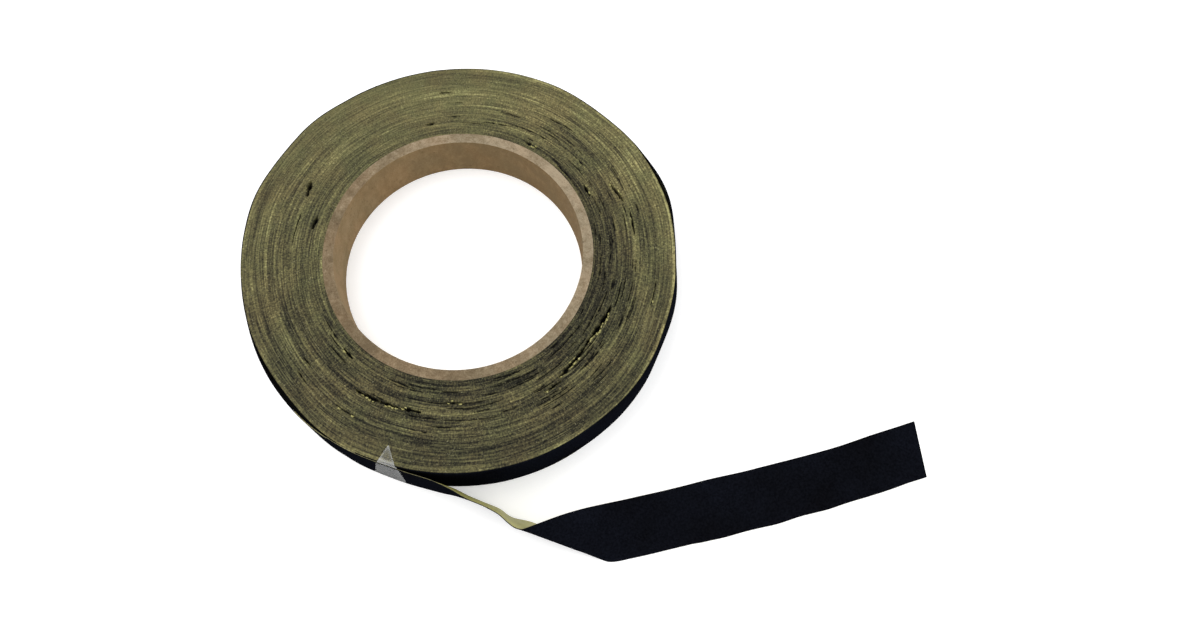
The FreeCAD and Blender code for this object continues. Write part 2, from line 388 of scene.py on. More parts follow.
def board_material(name, shades, stretch, painted_lean):
    """Kraft board: short fibres, flecks and soft blotches, in dark, middle and light shades.

    stretch is how short the fibres are up the core. The last argument paints light and shade: how much
    lighter it gets towards X and Y.
    """
    material, tree, shader = new_material(name)
    point = object_point(tree)
    heading = heading_of(tree, point)
    parts = add_node(tree, "ShaderNodeSeparateXYZ", Vector=point).outputs
    round_core = add_node(
        tree,
        "ShaderNodeCombineXYZ",
        X=calculate(tree, "MULTIPLY", parts[2], stretch * FIBRE_LAYERS),
        Y=calculate(tree, "MULTIPLY", parts[0], FIBRE_SCALE),
        Z=calculate(tree, "MULTIPLY", parts[1], FIBRE_SCALE),
    ).outputs[0]
    fibres = noise_of(tree, round_core, 1.0, 4.0, 0.65)
    blotches = noise_of(tree, point, 150.0, 4.0, 0.6)
    grain = noise_of(tree, point, 2100.0, 3.0, 0.7)
    # Painted light and shade: lighter towards the heading that the last argument points to.
    shade = calculate(tree, "MULTIPLY", heading[0], painted_lean[0])
    shade = calculate(tree, "ADD", shade, calculate(tree, "MULTIPLY", heading[1], painted_lean[1]))
    shade = calculate(tree, "ADD", shade, 0.5)
    total = weighted_sum(tree, shade, [(fibres, 0.55), (blotches, 0.55), (grain, 0.65)])
    colour = ramp(tree, total, list(zip((0.28, 0.5, 0.74), shades)))
    warmth = ramp(tree, noise_of(tree, point, 75.0, 3.0, 0.6), BOARD_HUES)
    colour = blend_colours(tree, 1.0, colour, warmth, "MULTIPLY")
    pits = noise_of(tree, point, 900.0, 2.0, 0.6)
    marks = calculate(tree, "MULTIPLY", where_low(tree, pits, 0.26, 0.34), 0.55)
    colour = blend_colours(tree, marks, colour, PIT_COLOUR)
    height = calculate(tree, "ADD", fibres, grain)
    dress(tree, shader, colour, 0.88, 0.1, bump_of(tree, height, 0.6, 0.0002))
    return material


PULLED_SHADES = [(0.32, (0.09, 0.08, 0.028)), (0.5, (0.30, 0.275, 0.085)), (0.7, (0.56, 0.53, 0.24))]


def fray_material():
    """Adhesive pulled out between the laps: yellow and a little glossy."""
    material, tree, shader = new_material("pulled_adhesive")
    point = object_point(tree)
    mix = noise_of(tree, point, 1400.0, 3.0, 0.6)
    relief = bump_of(tree, mix, 0.5, 0.0001)
    dress(tree, shader, ramp(tree, mix, PULLED_SHADES), 0.45, PLAIN_SPECULAR, relief)
    return material


def film_material():
    """Clear film, hazy from its adhesive: milky where it lies on black, with a painted highlight along the
    tip's fold.
    """
    material, tree, shader = new_material("clear_film")
    point = object_point(tree)
    haze = noise_of(tree, point, 420.0, 3.0, 0.6)
    colour = ramp(tree, haze, [(0.3, (0.56, 0.57, 0.56)), (0.7, (0.70, 0.71, 0.70))])
    # rim makes the film denser and so lighter; along the tip's fold this is a painted highlight.
    rim = calculate(tree, "MULTIPLY", attribute_of(tree, "rim"), 0.30)
    clear = add_node(tree, "ShaderNodeMapRange", Value=haze, input_3=0.015, input_4=0.055).outputs[0]
    feed(tree, shader.inputs["Alpha"], calculate(tree, "ADD", clear, rim, clamp=True))
    relief = bump_of(tree, noise_of(tree, point, 300.0, 2.0), 0.3, 0.0002)
    dress(tree, shader, colour, 0.28, 0.25, relief)
    return material


def floor_material():
    """Pale and matt, with a weak glow so that it reads as white."""
    material, tree, shader = new_material("pale_floor")
    dress(tree, shader, (0.92, 0.92, 0.92, 1.0), 0.9, 0.0)
    shader.inputs["Emission Color"].default_value = (1.0, 1.0, 1.0, 1.0)
    shader.inputs["Emission Strength"].default_value = 0.3
    return material


# ---------------------------------------------------------------- the roll's shape

# Where the wound tape's outline stands out or is flattened: (angle, amount, half-width in degrees)
BUMPS = [
    (2, 0.75, 14),
    (31, -0.62, 19),
    (120, 0.45, 12),
    (146, 0.35, 12),
    (180, -1.35, 36),
    (221, 0.27, 15),
    (262, 0.55, 42),
    (302, 0.35, 16),
    (324, -0.6, 13),
    (341, -0.9, 18),
]
# Where the outer lap stands off the laps inside it, and where the foot stands out, in the same terms
LOOSE = [(3, 1.05, 17), (206, 1.15, 24)]
FLARES = [(255, 0.45, 75), (341, 1.95, 28)]
FOOT_FLARE = 0.3
# Radius that the bumps start from, and how far and which way the roll is wound off centre
PLAIN_R = 67.15
OFF_CENTRE = 1.0
OFF_HEADING = 287
# Slits between laps: (angle, half-length in degrees, radius, half-width, depth, drift, how yellow)
SLITS = [
    (314, 8.0, 49.3, 0.50, 2.6, 0.05, 0.9),
    (299, 9.0, 49.7, 0.46, 2.2, -0.10, 1.0),
    (287, 3.5, 51.8, 0.28, 1.6, -0.05, 0.6),
    (254, 3.0, 47.6, 0.22, 1.2, 0.03, 0.7),
    (240, 3.5, 51.2, 0.38, 2.2, 0.0, 0.8),
    (229, 9.0, 51.7, 0.42, 2.2, -0.02, 0.7),
    (210, 3.0, 45.3, 0.35, 2.0, 0.03, 0.5),
    (203, 2.0, 56.2, 0.22, 1.2, 0.0, 0.6),
    (151, 3.2, 45.8, 0.45, 2.2, 0.05, 0.5),
    (139, 3.4, 52.6, 0.62, 3.0, -0.30, 0.7),
    (87, 2.0, 46.4, 0.35, 1.8, 0.0, 0.6),
    (80, 2.2, 58.0, 0.28, 1.4, 0.0, 0.0),
    (43, 3.0, 43.2, 0.30, 1.4, 0.0, 0.8),
    (11, 2.8, 44.8, 0.34, 1.8, 0.05, 0.4),
    (41, 1.8, 55.2, 0.28, 1.3, 0.0, 0.7),
    (6, 4.5, 53.2, 0.36, 2.2, -0.18, 0.6),
    (354, 5.0, 54.7, 0.24, 1.6, 0.02, 0.0),
    (330, 4.0, 61.3, 0.15, 1.0, 0.0, 0.4),
    (222, 4.0, 58.6, 0.16, 1.0, 0.0, 0.3),
    (205, 3.0, 60.2, 0.18, 1.0, 0.05, 0.2),
]


HAIRLINES = 110
HAIRLINE_SEED = 41
HAIRLINE_DEPTH = 0.7
# How far inside the rim the hairlines end
HAIRLINE_MARGIN = 8


def hairlines():
    """Fine open lines between laps, most of them near the core, in front and to the right."""
    draw = random.Random(HAIRLINE_SEED)
    made = []
    for _ in range(HAIRLINES):
        angle = (300 + draw.gauss(0, 62)) % 360
        radius = CORE_R + 1.0 + abs(draw.gauss(0, 8.5))
        if radius < ROLL_R - HAIRLINE_MARGIN:
            half = draw.uniform(1.5, 7)
            half_width = draw.uniform(0.11, 0.2)
            drift = draw.uniform(-0.04, 0.04)
            made.append((angle, half, radius, half_width, HAIRLINE_DEPTH, drift, 0.0))
    return made


OPENINGS = SLITS + hairlines()
# The least half-width that is modelled, and how far from a slit's middle it can show
SLIT_LEAST = 0.05
SLIT_REACH = 2


def swelling(places, degrees, start=0.0):
    """start, plus what each (angle, amount, half-width) adds at this heading."""
    total = start
    for angle, amount, half in places:
        total += amount * spread(turn_between(degrees, angle) / half)
    return total


def outline(degrees):
    """Radius of the roll's outer surface: wound a little off centre, and not quite round."""
    return swelling(BUMPS, degrees, PLAIN_R + OFF_CENTRE * unit(degrees - OFF_HEADING)[0])


def flare(degrees, height):
    """How far the outer lap stands out below the rim: the laps crept down as the roll lay."""
    return swelling(FLARES, degrees, FOOT_FLARE) * (1 - height / TOP)


def stand_off(degrees):
    """Width of the crevice inside the outer lap."""
    return swelling(LOOSE, degrees)


def face_share(lap):
    """How far out a lap lies, from 0 at the core to 1 at the rim."""
    return (lap - CORE_R) / (ROLL_R - CORE_R)


def lap_radius(lap, degrees):
    """Where a lap of that nominal radius really runs."""
    share = max(0.0, face_share(lap))
    c, s = unit(degrees)
    ripple = 0.10 * wobble(lap * 0.35, c * 3, s * 3)
    edge = outline(degrees) - TAPE - stand_off(degrees)
    return lap + (edge - ROLL_R) * share**1.2 + ripple * min(1.0, share * 8)


def slit_radius(degrees, radius, drift, turn):
    """Radius of the middle of a slit, which wanders a little across the laps."""
    wander = 0.16 * wobble(degrees * 0.7, radius) + 0.07 * wobble(degrees * 2.3, radius + 9)
    return radius + drift * turn + wander


def slit_width(degrees, radius, half_width, reach):
    """Half-width of a slit part of the way along it: ragged, and nothing at its ends."""
    ragged = 0.85 + 1.0 * wobble(degrees * 0.55, radius + 3) + 0.6 * wobble(degrees * 1.9, radius + 7)
    return half_width * max(0.0, 1 - reach * reach) ** 0.5 * max(0.0, ragged)


def slits_across(degrees):
    """The slits that this heading crosses, as (radius there, half-width there, depth, how yellow, seed)."""
    made = []
    for angle, half, radius, half_width, deep, drift, yellow in OPENINGS:
        turn = turn_between(degrees, angle)
        if abs(turn) < half:
            width = slit_width(degrees, radius, half_width, turn / half)
            if width > SLIT_LEAST:
                made.append((slit_radius(degrees, radius, drift, turn), width, deep, yellow, radius))
    return made


def slit_at(lap, degrees, crossed):
    """(depth, how far into a slit from 0 to 1, how frayed) at a point of the end face."""
    # The middle value is painted as shade down the slit on the end face.
    depth, inside, frayed = 0.0, 0.0, 0.0
    for middle, width, deep, yellow, radius in crossed:
        off = lap - middle
        if abs(off) > SLIT_REACH:
            continue
        into = spread(off / (width * 1.5))
        depth = max(depth, deep * into**0.7)
        inside = max(inside, min(1.0, into * 2.2))
        rim = spread((off - width * 1.3) / 0.34) + 0.55 * spread((off + width * 1.3) / 0.26)
        frayed = max(frayed, yellow * rim * max(0.0, wobble(degrees * 3.3, radius + 5)))
    return depth, inside, min(1.0, frayed)


# Painted light and shade, lighter and darker places on the end face: (angle, half-width, share out,
# half-width in share, amount)
PAINTED_FACE_TONES = [
    (275, 47, 0.87, 0.2, -0.21),
    (80, 75, 0.90, 0.17, -0.09),
    (82, 65, 0.50, 0.26, 0.07),
    (262, 38, 0.50, 0.24, 0.09),
    (318, 40, 0.80, 0.15, -0.05),
]


def face_painted_shade(lap, degrees):
    """How light the end face is there: painted light and shade, lighter at the back towards the light and
    dark near the core in front, and lighter at the rim.
    """
    share = face_share(lap)
    painted_tone = 0.46 + 0.12 * share + 0.11 * unit(degrees - 105 + 55 * share)[0]
    painted_tone -= 0.09 * (1 - share) ** 2 * spread(turn_between(degrees, 325) / 80)
    for angle, half, middle, half_share, amount in PAINTED_FACE_TONES:
        painted_tone += amount * spread(turn_between(degrees, angle) / half) * spread((share - middle) / half_share)
    rim = (0.10 + 0.07 * unit(degrees - 320)[0]) * (1 + 1.3 * wobble(degrees * 0.28, 21.0))
    rim += 0.13 * spread(turn_between(degrees, 310) / 45) * (1 + wobble(degrees * 0.5, 27.0))
    return painted_tone + rim * spread((share - 0.985) / 0.032)


def face_strength(lap, degrees):
    """How strongly the laps show there: calm at the back and near the rim, busy in front near the core."""
    calm_back = 0.38 * spread(turn_between(degrees, 95) / 85)
    calm_rim = 0.16 * spread((face_share(lap) - 0.9) / 0.35)
    return 1.0 - calm_back - calm_rim


# How far the laps end below the core's end
FACE_INSET = 0.05


def face_height(lap, degrees):
    """Height of the end face from the core's: laps stand a little proud or sunk, so it isn't flat."""
    c, s = unit(degrees)
    step = 0.10 * wobble(lap * 0.9, 1.4 * c, 1.4 * s) + 0.055 * wobble(lap * 3.1, 2.5 * c, 2.5 * s)
    swell = 0.12 * wobble(lap * 0.12 + 7, 1.6 * c, 1.6 * s)
    return step + swell - FACE_INSET


TURNS = 720
FACE_RINGS = 150
UNDER_RINGS = 24
CREVICE_POINTS = 6
WALL_ROWS = 12
WALL_START = FACE_RINGS + CREVICE_POINTS
SECTION = WALL_START + WALL_ROWS + UNDER_RINGS
# How far the black wall stays from the top and the table
WALL_MARGIN = 0.14
# Depth of the crevice inside the outer lap, and the stand-off from which it is that deep
CREVICE_DEPTH = 2.6
CREVICE_FULL = 0.35
# The headings between which the outer lap's edge shows its adhesive
BARE_FROM = 211
BARE_TO = 230
# Places in a piece's list of materials: the roll's face or the strip's adhesive, the cloth, the edge
FACE_SLOT = 0
CLOTH_SLOT = 1
EDGE_SLOT = 2
# FACE_ATTRIBUTES where there is no end face: down the crevice, up out of it, and on the wall
# The second value of each paints shade into the crevice.
IN_CREVICE = (0.0, 1.0, 0.0, 0.3, 1.0)
OUT_OF_CREVICE = (0.0, 0.6, 0.0, 0.3, 1.0)
ON_WALL = (ROLL_R, 0.0, 0.0, 0.5, 1.0)


def outer_lap(degrees):
    """(radius, height) down into the crevice inside the outer lap, and up to that lap's outer corner."""
    outer = outline(degrees) + 0.05 * wobble(degrees * 0.2, 3.0)
    inner = outer - TAPE
    inside = lap_radius(ROLL_R, degrees)
    deep = CREVICE_DEPTH * min(1.0, stand_off(degrees) / CREVICE_FULL)
    bottom = TOP - WALL_MARGIN - deep
    top = TOP - 0.1 + 0.07 * wobble(degrees * 0.15, 12.0)
    return [
        (inside + 0.03, TOP - 0.12 - deep * 0.25),
        (inside + 0.05, bottom),
        (inner - 0.02, bottom),
        (inner, top - 0.05 - deep * 0.2),
        (inner + 0.03, top),
        (outer - 0.03, top),
    ]


def wound_slot(k, degrees):
    """Which material the face after point k of the section has at that heading."""
    if k == WALL_START - 2 and BARE_FROM < degrees < BARE_TO:
        return EDGE_SLOT
    return CLOTH_SLOT if WALL_START - 3 <= k < WALL_START + WALL_ROWS - 1 else FACE_SLOT


def wound_section(degrees, laps, walls, under):
    """Points round one section of the wound tape, and their FACE_ATTRIBUTES."""
    c, s = unit(degrees)
    crossed = slits_across(degrees)
    places, values = [], []
    for lap in laps:
        depth, inside, frayed = slit_at(lap, degrees, crossed)
        height = TOP + face_height(lap, degrees) - depth + 0.12 * frayed
        places.append((lap_radius(lap, degrees), height))
        values.append((lap, inside, frayed, face_painted_shade(lap, degrees), face_strength(lap, degrees)))
    places.extend(outer_lap(degrees))
    values.extend([IN_CREVICE] * 3 + [OUT_OF_CREVICE] * 3)
    for height in walls:
        wave = 0.09 * wobble(c * 6, s * 6, height * 0.10)
        places.append((outline(degrees) + wave + flare(degrees, height), height))
    values.extend([ON_WALL] * WALL_ROWS)
    foot = flare(degrees, 0) + (TAPE + stand_off(degrees))
    for lap in under:
        radius = lap_radius(lap, degrees) + foot * face_share(lap) ** 3
        places.append((radius, 0.05 + 0.04 * wobble(lap, 2 * c, 2 * s)))
        values.append((lap, 0.0, 0.0, face_painted_shade(lap, degrees), 1.0))
    return [(radius * c, radius * s, height) for radius, height in places], values


def wound_tape(materials):
    """The wound tape as one closed skin: end faces with lap relief and slits, and the black outside."""
    laps = np.linspace(CORE_R, ROLL_R, FACE_RINGS)
    under = np.linspace(ROLL_R, CORE_R, UNDER_RINGS)
    walls = np.linspace(TOP - WALL_MARGIN, WALL_MARGIN, WALL_ROWS)
    points, values, slots = [], [], []
    for column in range(TURNS):
        degrees = 360.0 * column / TURNS
        more_points, more_values = wound_section(degrees, laps, walls, under)
        points.extend(more_points)
        values.extend(more_values)
        slots.extend(wound_slot(k, degrees) for k in range(SECTION))
    faces = []
    for column in range(TURNS):
        a, b = column * SECTION, (column + 1) % TURNS * SECTION
        for k in range(SECTION):
            n = (k + 1) % SECTION
            faces.append((a + k, a + n, b + n, b + k))
    piece = make_piece("wound_tape", points, faces, materials, slots)
    for index, name in enumerate(FACE_ATTRIBUTES):
        set_attribute(piece, name, [value[index] for value in values])
    return piece


# ---------------------------------------------------------------- the core


PLIES = 8
PLY_ROWS = 9
PLY_COLUMNS = 420
SEAM_GAP = 0.05
# Half the glue line between two plies
GLUE = 0.008
# Places in a ply's list of materials
BOARD_END_SLOT = 0
BOARD_WALL_SLOT = 1
# Heading of the first ply's seam, how far on the next one is, and how steeply they climb
FIRST_SEAM = 205.0
NEXT_SEAM = 137.5
SEAM_CLIMB = math.tan(math.radians(29.0))


def core_ply(index, materials):
    """One board ply: a sleeve split by its slanting butt seam, rough where it was cut."""
    inner = BORE_R + PLY * index + (0.0 if index == 0 else GLUE)
    outer = BORE_R + PLY * (index + 1) - GLUE
    first = FIRST_SEAM + NEXT_SEAM * index
    slope = math.degrees(1 / SEAM_CLIMB / inner)
    margin = math.degrees(SEAM_GAP / inner)
    section = ply_section(inner, outer)
    ring = []
    for k in range(PLY_COLUMNS + 1):
        for radius, level in section:
            height = TOP * level
            degrees = first + slope * (height - TOP / 2) + margin + (360 - 2 * margin) * k / PLY_COLUMNS
            c, s = unit(degrees)
            coarse = 0.07 * wobble(c * 60 + index * 7, s * 60, level * 3)
            rough = coarse + 0.05 * wobble(c * 190, s * 190, index * 5.0)
            if level == 1.0:
                height += rough - 0.05
            elif level == 0.0:
                height += abs(rough) * 0.4
            radius += 0.02 * wobble(c * 25, s * 25, height * 0.3 + index)
            ring.append((radius * c, radius * s, height))
    size = len(section)
    faces = tube_faces(PLY_COLUMNS + 1, size)
    around = [BOARD_WALL_SLOT if k < PLY_ROWS - 1 else BOARD_END_SLOT for k in range(size)]
    slots = around * PLY_COLUMNS
    caps = seam_caps(size)
    last = PLY_COLUMNS * size
    faces += caps + [tuple(last + k for k in reversed(cap)) for cap in caps]
    slots += [BOARD_END_SLOT] * (2 * len(caps))
    return make_piece(f"board_ply_{index + 1}", ring, faces, materials, slots)


def ply_section(inner, outer):
    """Outline of a ply's section as (radius, level): down its bore side, and back up outside."""
    levels = [1 - k / (PLY_ROWS - 1) for k in range(PLY_ROWS)]
    return [(inner, level) for level in levels] + [(outer, level) for level in reversed(levels)]


def seam_caps(size):
    """Faces that close a ply at its seam, each between points at the same two levels."""
    return [(k, k + 1, size - 2 - k, size - 1 - k) for k in range(PLY_ROWS - 1)]


# ---------------------------------------------------------------- the free tail

# The adhesive side's straight rulings from edge to edge, in millimetres: (foot), (top)
RULINGS = [
    ((-32.0, -61.9, 0.06), (-31.5, -61.2, 17.0)),
    ((-24.9, -66.4, 0.06), (-25.1, -65.6, 17.0)),
    ((-20.9, -68.7, 0.06), (-20.5, -69.6, 16.9)),
    ((-17.6, -71.0, 0.06), (-17.0, -73.3, 16.7)),
    ((-13.6, -74.0, 0.06), (-12.8, -76.8, 16.5)),
    ((-9.6, -76.7, 0.06), (-9.6, -80.0, 16.3)),
    ((-6.3, -80.1, 0.06), (-7.8, -82.8, 16.0)),
    ((-0.6, -83.6, 0.06), (-6.5, -84.6, 15.8)),
    ((8.0, -91.6, 0.06), (-5.6, -85.4, 15.7)),
    ((15.3, -99.0, 0.10), (-5.0, -85.7, 15.7)),
    ((16.0, -99.9, 0.16), (-4.2, -86.0, 15.7)),
    ((17.6, -100.7, 0.10), (-1.6, -85.9, 15.2)),
    ((20.0, -101.2, 0.06), (2.8, -85.5, 13.9)),
    ((23.0, -101.5, 0.05), (7.6, -85.1, 12.0)),
    ((26.6, -101.9, 0.05), (13.0, -84.9, 9.4)),
    ((30.8, -102.3, 0.05), (19.2, -85.0, 6.2)),
    ((35.6, -102.7, 0.05), (26.2, -85.3, 3.1)),
    ((41.2, -103.2, 0.05), (34.4, -85.7, 1.0)),
    ((48.5, -104.0, 0.05), (45.2, -86.4, 0.25)),
    ((58.0, -104.6, 0.05), (56.5, -87.1, 0.15)),
    ((69.0, -105.3, 0.05), (68.5, -88.0, 0.12)),
    ((80.5, -105.7, 0.05), (80.6, -88.7, 0.15)),
    ((92.0, -106.0, 0.05), (93.0, -89.2, 0.12)),
    ((104.2, -106.1, 0.05), (106.6, -89.0, 0.10)),
    ((116.7, -106.0, 0.05), (120.3, -88.9, 0.10)),
]
# How far the middle of each of the first rulings bends in towards the roll
BELLIES = [0.1, 0.5, 1.0, 0.95, 0.85, 0.75, 0.3, 0.1]
# The lead before them: headings of its rulings, and how far their foot and top stand off the roll
LEAD_ANGLES = [-138.0, -135.0, -132.0, -129.0, -126.0, -123.5, -121.0]
LEAD_FOOT = [-0.32, -0.20, 0.0, 0.10, 0.16, 0.28, 0.45]
LEAD_TOP = [-0.32, -0.20, -0.06, 0.0, 0.02, 0.05, 0.12]
# Spaces between points across the strip, and rows from one ruling to the next
ACROSS = 14
STEPS = 8
# The row where tail_near ends and tail_far begins
SEAM_ROW = (len(LEAD_ANGLES) + 2) * STEPS
# Below this height, in millimetres, the strip lies on the table
LYING = 2


def lead_rulings():
    """The last of the tape on the roll: it rises out of the outside lap and lifts away."""
    made = []
    for degrees, foot, top in zip(LEAD_ANGLES, LEAD_FOOT, LEAD_TOP):
        c, s = unit(degrees)
        low = outline(degrees) + flare(degrees, 0) + foot
        high = outline(degrees) + top
        made.append(((low * c, low * s, 0.06), (high * c, high * s, 17.0)))
    return made


def through(points, steps):
    """Points of a smooth curve through these, with so many steps between each pair."""
    points = np.asarray(points, float)
    padded = np.vstack([2 * points[0] - points[1], points, 2 * points[-1] - points[-2]])
    made = []
    for a, b, c, d in zip(padded, padded[1:], padded[2:], padded[3:]):
        slope, bend, twist = c - a, 2 * a - 5 * b + 4 * c - d, 3 * b - a - 3 * c + d
        for k in range(steps):
            t = k / steps
            made.append(0.5 * (2 * b + slope * t + bend * t * t + twist * t**3))
    made.append(points[-1])
    return np.array(made)


def tail_surface():
    """Grid of points on the adhesive side, and unit normals of the black side."""
    rulings = lead_rulings() + RULINGS
    foot = through([r[0] for r in rulings], STEPS)
    top = through([r[1] for r in rulings], STEPS)
    share = np.linspace(0, 1, ACROSS + 1)[None, :, None]
    grid = foot[:, None, :] * (1 - share) + top[:, None, :] * share
    bellies = [0.0] * len(LEAD_ANGLES) + BELLIES + [0.0] * (len(RULINGS) - len(BELLIES))
    belly = through([(b, 0, 0) for b in bellies], STEPS)[:, :1, None]
    grid = grid - belly * 4 * share * (1 - share) * outward_of(grid)
    for i, row in enumerate(grid):
        if row[:, 2].max() < LYING:
            row[0, 1] += 0.28 * wobble(i * 0.17, 31.0)
            row[-1, 1] += 0.18 * wobble(i * 0.12, 37.0)
        for j, place in enumerate(row):
            edge = math.sin(math.pi * j / ACROSS)
            ripple = wobble(i * 0.05, j * 0.15, 3.0) * edge + 0.5 * wobble(i * 0.13, j * 0.3, 8.0)
            if place[2] < LYING:
                place[2] += 0.12 * max(0.0, ripple)
    return grid, outward_of(grid)


def outward_of(grid):
    """Unit normals of the black side."""
    normal = np.cross(np.gradient(grid, axis=0), np.gradient(grid, axis=1))
    return normal / np.linalg.norm(normal, axis=2, keepdims=True)


def strip_piece(name, grid, normal, first, last, materials):
    """Rows first to last of the tail as a closed strip: adhesive side, black side and slit edges."""
    inner = grid[first : last + 1]
    outer = inner + TAPE * normal[first : last + 1]
    middle = inner + ADHESIVE * normal[first : last + 1]
    rows, width = inner.shape[0], ACROSS + 1
    loops = [np.vstack([inner[i], middle[i][-1:], outer[i][::-1], middle[i][:1]]) for i in range(rows)]
    section = 2 * width + 2
    around = [CLOTH_SLOT if k >= width else FACE_SLOT for k in range(section)]
    around[width - 1] = around[2 * width + 1] = EDGE_SLOT
    slots = around * (rows - 1) + [EDGE_SLOT, EDGE_SLOT]
    faces = tube_faces(rows, section) + end_faces(rows, section)
    faces = [f[::-1] for f in faces]
    piece = make_piece(name, np.vstack(loops), faces, materials, slots)
    mark_sharp(piece)
    return piece


def mark_sharp(piece, degrees=50):
    """Edges that turn more than this keep a crisp corner."""
    piece.data.set_sharp_from_angle(angle=math.radians(degrees))


# ---------------------------------------------------------------- adhesive between the laps


# Millimetres of slit for each crumb where it is yellowest
CRUMB_SPACING = 0.85
CRUMB_AROUND = 8
CRUMB_ROWS = 5
# How thick a crumb is for its size
CRUMB_THICKNESS = 0.75


def adhesive_frays(materials):
    """Crumpled bits of adhesive that stand out along the slits."""
    points, faces = [], []
    for angle, half, radius, half_width, _, drift, yellow in SLITS:
        length = math.radians(2 * half) * radius
        count = max(1, int(length * yellow / CRUMB_SPACING))
        for n in range(count if yellow else 0):
            turn = half * (-0.92 + 1.84 * (n + 0.5 + 0.8 * wobble(n * 3.7, angle)) / count)
            degrees = angle + turn
            cluster = wobble(degrees * 0.28, angle * 1.3, 6.0)
            if abs(turn) > half or cluster + 0.5 * wobble(n * 5.1, angle, 4.0) < 0.0:
                continue
            side = 1 if wobble(n * 2.3, angle, 9.0) > -0.12 else -1
            middle = slit_radius(degrees, radius, drift, turn)
            lap = middle + side * (0.22 + slit_width(degrees, radius, half_width, turn / half))
            size = 0.32 + 0.42 * wobble(n * 1.9, angle, 2.0)
            place = lap_radius(lap, degrees)
            add_crumb(points, faces, place, degrees, size, n + angle)
    return make_piece("adhesive_frays", points, faces, materials)


def add_crumb(points, faces, radius, degrees, size, seed):
    """A small lump, longer along the laps than across, pushed out of shape."""
    c, s = unit(degrees)
    start = len(points)
    long = 1.5 + 1.6 * wobble(seed * 1.7, 5.0)
    for row in range(CRUMB_ROWS):
        polar = math.pi * (row + 0.5) / CRUMB_ROWS
        for k in range(CRUMB_AROUND):
            turn = 2 * math.pi * k / CRUMB_AROUND
            x, y, z = math.sin(polar) * math.cos(turn), math.sin(polar) * math.sin(turn), math.cos(polar)
            swell = 1 + 1.5 * wobble(x * 1.9 + seed * 2.1, y * 1.9, z * 1.9)
            out = radius + x * size * CRUMB_THICKNESS * swell
            along = y * size * long * swell
            up = z * size * CRUMB_THICKNESS * swell
            points.append((out * c - along * s, out * s + along * c, TOP - FACE_INSET + up))
    faces.extend(tube_faces(CRUMB_ROWS, CRUMB_AROUND, start))
    faces.extend(end_faces(CRUMB_ROWS, CRUMB_AROUND, start))


# ---------------------------------------------------------------- the film tab

# The film's thickness, and the spaces between points across it, up its band and along its tip
FILM = 0.05
FILM_COLUMNS = 10
BAND_ROWS = 14
TIP_ROWS = 12
# Headings of the film's left and right edges: at the band's foot, at its top, and where the tip begins
BAND_LOW = (-127.4, -118.9)
BAND_HIGH = (-124.3, -118.6)
TIP_BASE = (-124.1, -119.8)
TIP_POINT = (-33.95, -52.5)
# How far the film lies off the adhesive side, and the levels its band runs between
FILM_LIFT = 0.34
BAND_FOOT = 0.02
BAND_TOP = 0.99
# Shares of the way from the band's top to the fold line, and how much sooner it is level with it
OVER_RIM = (0.3, 0.65, 1.0)
RIM_RISE = 2.5
# The tip's last row stops short of its point, so that it has a width
TIP_REACH = 0.97
# The line where the film's tip folds up: its distance from the axis and the heading square to it
FOLD_DISTANCE = 67.43
FOLD_HEADING = -126.05
FOLD_LEVEL = 0.05
FOLD_GAP = 0.07


def between(ends, share):
    """The value so far from the first of two ends to the second."""
    return ends[0] + (ends[1] - ends[0]) * share


def film_headings(start, end, share):
    """Headings across the film, so far from one pair of its edges to another."""
    edges = [between(pair, share) for pair in zip(start, end)]
    return [between(edges, k / FILM_COLUMNS) for k in range(FILM_COLUMNS + 1)]


def on_lead(outside, degrees, level):
    """Point on the outside of the lead at that heading, level with a share of its height."""
    j = min(int(level * ACROSS), ACROSS - 1)
    found = []
    for line in (outside[:, j], outside[:, j + 1]):
        angles = np.degrees(np.arctan2(line[:, 1], line[:, 0]))
        found.append(np.array([np.interp(degrees, angles, line[:, axis]) for axis in range(3)]))
    share = level * ACROSS - j
    return found[0] * (1 - share) + found[1] * share


def on_fold(degrees, gap=0.0):
    """Point of the fold line at that heading, just over the rim, or so far outside it."""
    radius = FOLD_DISTANCE / unit(degrees - FOLD_HEADING)[0] + gap
    c, s = unit(degrees)
    return np.array([radius * c, radius * s, TOP + FOLD_LEVEL])


def film_band_rows(outside):
    """Rows of points up the lead, then in over the rim to the fold line."""
    rows = []
    for row in range(BAND_ROWS + 1):
        level = between((BAND_FOOT, BAND_TOP), row / BAND_ROWS)
        headings = film_headings(BAND_LOW, BAND_HIGH, level)
        rows.append([on_lead(outside, degrees, level) for degrees in headings])
    for share in OVER_RIM:
        line = []
        for degrees in film_headings(BAND_HIGH, TIP_BASE, share):
            start, end = on_lead(outside, degrees, BAND_TOP), on_fold(degrees, FOLD_GAP)
            point = start * (1 - share) + end * share
            point[2] = between((start[2], end[2]), min(1.0, RIM_RISE * share))
            line.append(point)
        rows.append(line)
    return np.array(rows)


def film_tip_rows():
    """Rows of points from the fold line to the tip, lying on the end face."""
    rows = []
    for row in range(TIP_ROWS + 1):
        share = TIP_REACH * row / TIP_ROWS
        rise = 0.12 * min(1.0, 12 * share) + 0.1 * math.sin(math.pi * share)
        line = []
        for degrees in film_headings(TIP_BASE, TIP_BASE, 0):
            start = on_fold(degrees)
            x, y = start[:2] * (1 - share) + np.array(TIP_POINT) * share
            line.append((x, y, start[2] + rise))
        rows.append(line)
    return np.array(rows)


